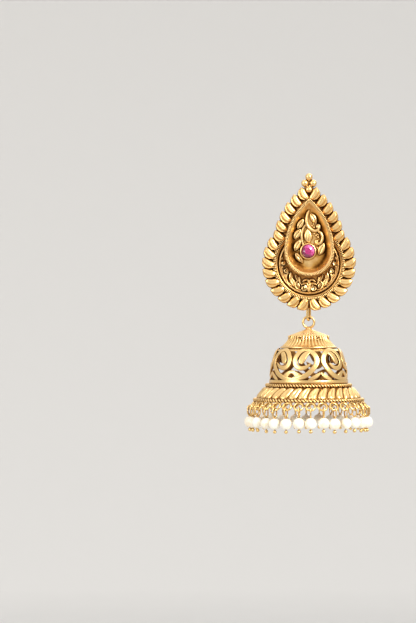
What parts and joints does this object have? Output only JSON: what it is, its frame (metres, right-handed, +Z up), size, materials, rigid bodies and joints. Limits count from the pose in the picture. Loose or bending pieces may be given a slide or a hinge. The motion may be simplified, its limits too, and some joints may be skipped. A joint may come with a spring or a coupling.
{
  "type": "earring",
  "caption": "Jhumka drop earring: petal-edged teardrop stud with a stone-set cup on an ear post, and a pierced bell with a pearl fringe that swings from it on a link.",
  "frame": {"origin": "where the ear post leaves the flat back of the stud, at the front of the ear lobe", "axes": "+Z up along the hanging earring, -Y towards the viewer of the face, +Y along the ear post through the lobe, +X to the viewer's right"},
  "size_m": [0.032, 0.0322, 0.0634],
  "materials": {
    "gold_plate": "antique gold plate over cast brass, darkened in the recesses",
    "gold_wire": "bright gold-plated wire",
    "pearl": "cream imitation pearl on a gold-plated head pin",
    "ruby_glass": "faceted ruby-pink glass"
  },
  "bodies": {
    "stud": {"stud_plate": "gold_plate", "teardrop_cup": "gold_plate", "ruby_stone": "ruby_glass", "ear_post": "gold_wire"},
    "link": {"link": "gold_wire"},
    "bell": {"bell_cap": "gold_plate", "bell_band": "gold_plate", "bell_skirt": "gold_plate", "pearl_drop_01": "pearl", "pearl_drop_02": "pearl", "pearl_drop_03": "pearl", "pearl_drop_04": "pearl", "pearl_drop_05": "pearl", "pearl_drop_06": "pearl", "pearl_drop_07": "pearl", "pearl_drop_08": "pearl", "pearl_drop_09": "pearl", "pearl_drop_10": "pearl", "pearl_drop_11": "pearl", "pearl_drop_12": "pearl", "pearl_drop_13": "pearl", "pearl_drop_14": "pearl", "pearl_drop_15": "pearl", "pearl_drop_16": "pearl", "pearl_drop_17": "pearl", "pearl_drop_18": "pearl", "pearl_drop_19": "pearl", "pearl_drop_20": "pearl", "pearl_drop_21": "pearl", "pearl_drop_22": "pearl", "pearl_drop_23": "pearl", "pearl_drop_24": "pearl", "pearl_drop_25": "pearl", "pearl_drop_26": "pearl", "pearl_drop_27": "pearl", "pearl_drop_28": "pearl", "pearl_drop_29": "pearl", "pearl_drop_30": "pearl"}
  },
  "joints": [
    {"name": "link_swing", "type": "hinge", "parent": "stud", "child": "link", "pos_m": [0, 0.0016, -0.0174], "axis": [1, 0, 0], "range_deg": [-30, 40]},
    {"name": "bell_swing", "type": "hinge", "parent": "link", "child": "bell", "pos_m": [0, 0.0016, -0.02059], "axis": [0, 1, 0], "range_deg": [-45, 45]}
  ]
}
